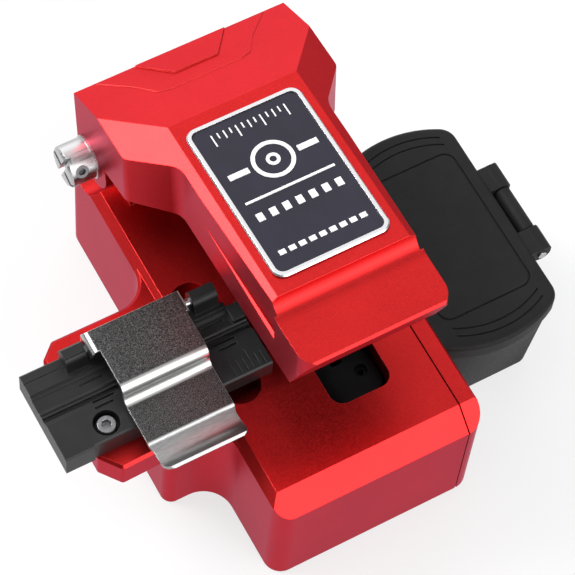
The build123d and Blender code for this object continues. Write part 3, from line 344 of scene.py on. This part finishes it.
def ring(cx, cv, r, t, n=40, a0=0.0, a1=360.0):
    """Part of a flat ring, built from quads."""
    full = abs(a1 - a0) >= 359.9
    k = n
    pts_o = [(cx + r * math.cos(math.radians(a0 + (a1 - a0) * i / k)), cv + r * math.sin(math.radians(a0 + (a1 - a0) * i / k)))
             for i in range(k + (0 if full else 1))]
    pts_i = [(cx + (r - t) * math.cos(math.radians(a0 + (a1 - a0) * i / k)),
              cv + (r - t) * math.sin(math.radians(a0 + (a1 - a0) * i / k))) for i in range(k + (0 if full else 1))]
    bm = bmesh.new()
    up = (L(0, 0, 1) - L(0, 0, 0)).normalized() * (0.16 * MM)
    lo_o = [bm.verts.new(L(x, v, PW)) for x, v in pts_o]
    lo_i = [bm.verts.new(L(x, v, PW)) for x, v in pts_i]
    hi_o = [bm.verts.new(L(x, v, PW) + up) for x, v in pts_o]
    hi_i = [bm.verts.new(L(x, v, PW) + up) for x, v in pts_i]
    m = len(pts_o)
    rng = range(m) if full else range(m - 1)
    for i in rng:
        j = (i + 1) % m
        bm.faces.new((hi_o[i], hi_o[j], hi_i[j], hi_i[i]))
        bm.faces.new((lo_o[j], lo_o[i], lo_i[i], lo_i[j]))
        bm.faces.new((lo_o[i], lo_o[j], hi_o[j], hi_o[i]))
        bm.faces.new((lo_i[j], lo_i[i], hi_i[i], hi_i[j]))
    if not full:
        bm.faces.new((lo_o[0], hi_o[0], hi_i[0], lo_i[0]))
        bm.faces.new((hi_o[-1], lo_o[-1], lo_i[-1], hi_i[-1]))
    bmesh.ops.recalc_face_normals(bm, faces=bm.faces)
    me = bpy.data.meshes.new("r")
    bm.to_mesh(me)
    bm.free()
    ob = bpy.data.objects.new("r", me)
    scene.collection.objects.link(ob)
    art.append(ob)


# ruled scale at the top of the plate
for i in range(13):
    x = -8.4 + i * 1.4
    bar(x - 0.16, x + 0.16, -27.2 if i % 4 == 0 else (-26.2 if i % 2 == 0 else -25.6), -24.2)
# blade disc under a fibre, as a plain pictogram
ring(0, -35.2, 4.6, 0.9, 48)
ring(0, -35.2, 1.5, 0.75, 24)
bar(-10.2, -5.6, -36.0, -34.6)
bar(5.6, 10.2, -36.0, -34.6)
# rule line
bar(-10.2, 10.2, -42.6, -42.0)
# row of small squares and a wedge
for i in range(7):
    x = -9.0 + i * 3.0
    bar(x - 0.75, x + 0.75, -47.4, -45.4)
for i in range(9):
    x = -9.2 + i * 2.3
    bar(x - 0.75, x + 0.75, -56.3, -55.1)
join("nameplate_graphics", art, "lever_arm")

# ------------------------------------------------------------------ stage
bm = bmesh.new()
S = 3.0
vs = [bm.verts.new(p) for p in ((-S, -S, 0), (S, -S, 0), (S, S, 0), (-S, S, 0))]
bm.faces.new(vs)
me = bpy.data.meshes.new("floor")
bm.to_mesh(me)
bm.free()
floor = bpy.data.objects.new("floor", me)
scene.collection.objects.link(floor)
m, nt, b = new_mat("floor_pale")
b.inputs["Base Color"].default_value = (0.18, 0.18, 0.183, 1)
b.inputs["Emission Color"].default_value = (1, 1, 1, 1)
b.inputs["Emission Strength"].default_value = 0.71
b.inputs["Roughness"].default_value = 0.9
b.inputs["Specular IOR Level"].default_value = 0.1
floor.data.materials.append(m)

w = bpy.data.worlds.new("world")
scene.world = w
w.use_nodes = True
wn = w.node_tree
bg = wn.nodes["Background"]
bg.inputs[0].default_value = (1, 1, 1, 1)
wtc = wn.nodes.new("ShaderNodeTexCoord")


def lobe(direction, sharp, gain):
    """gain * max(0, dot(direction, ray)) ** sharp"""
    d = Vector(direction).normalized()
    dot = wn.nodes.new("ShaderNodeVectorMath")
    dot.operation = "DOT_PRODUCT"
    dot.inputs[1].default_value = d
    wn.links.new(wtc.outputs["Generated"], dot.inputs[0])
    mx = wn.nodes.new("ShaderNodeMath")
    mx.operation = "MAXIMUM"
    mx.inputs[1].default_value = 0.0
    wn.links.new(dot.outputs["Value"], mx.inputs[0])
    pw = wn.nodes.new("ShaderNodeMath")
    pw.operation = "POWER"
    pw.inputs[1].default_value = sharp
    wn.links.new(mx.outputs[0], pw.inputs[0])
    mu = wn.nodes.new("ShaderNodeMath")
    mu.operation = "MULTIPLY"
    mu.inputs[1].default_value = gain
    wn.links.new(pw.outputs[0], mu.inputs[0])
    return mu.outputs[0]


def plus(a, b):
    n = wn.nodes.new("ShaderNodeMath")
    n.operation = "ADD"
    for i, x in enumerate((a, b)):
        if isinstance(x, float):
            n.inputs[i].default_value = x
        else:
            wn.links.new(x, n.inputs[i])
    return n.outputs[0]


sky = plus(0.22, lobe((0.27, 0.38, 0.885), 3.0, 0.85))
sky = plus(sky, lobe((0.25, 0.95, 0.25), 6.0, 1.75))
sky = plus(sky, lobe((0.20, -0.82, 0.54), 16.0, 4.4))
sky = plus(sky, lobe((0.25, -0.90, 0.30), 7.0, 2.4))
sky = plus(sky, lobe((-0.525, 0.538, 0.658), 55.0, 32.0))
wn.links.new(sky, bg.inputs[1])


def area(name, direction, dist, size, power, target=(0, 0, 0.03), col=(1, 1, 1)):
    ld = bpy.data.lights.new(name, "AREA")
    ld.shape = "RECTANGLE"
    ld.size, ld.size_y = size
    ld.energy = power
    ld.color = col
    ob = bpy.data.objects.new(name, ld)
    d = Vector(direction).normalized()
    ob.location = Vector(target) + d * dist
    ob.rotation_euler = d.to_track_quat("Z", "Y").to_euler()
    scene.collection.objects.link(ob)
    return ob


area("top_soft", (-0.25, 0.05, 1.0), 1.3, (0.5, 0.5), 3.0)

# ------------------------------------------------------------------ camera
cam_data = bpy.data.cameras.new("camera")
cam_data.sensor_width = 36.0
cam_data.lens = 178.45
cam_data.clip_start = 0.01
cam = bpy.data.objects.new("camera", cam_data)
X = Vector((0.8749964, -0.4809128, 0.0557146))
Y = Vector((0.4045378, 0.7895073, 0.4615489))
Z = Vector((-0.2659519, -0.3813150, 0.8853635))
cam.matrix_world = Matrix(((X.x, Y.x, Z.x, -0.16053380), (X.y, Y.y, Z.y, -0.23526229), (X.z, Y.z, Z.z, 0.57461962), (0, 0, 0, 1)))
scene.collection.objects.link(cam)
scene.camera = cam
scene.view_settings.view_transform = "Standard"
scene.view_settings.look = "None"
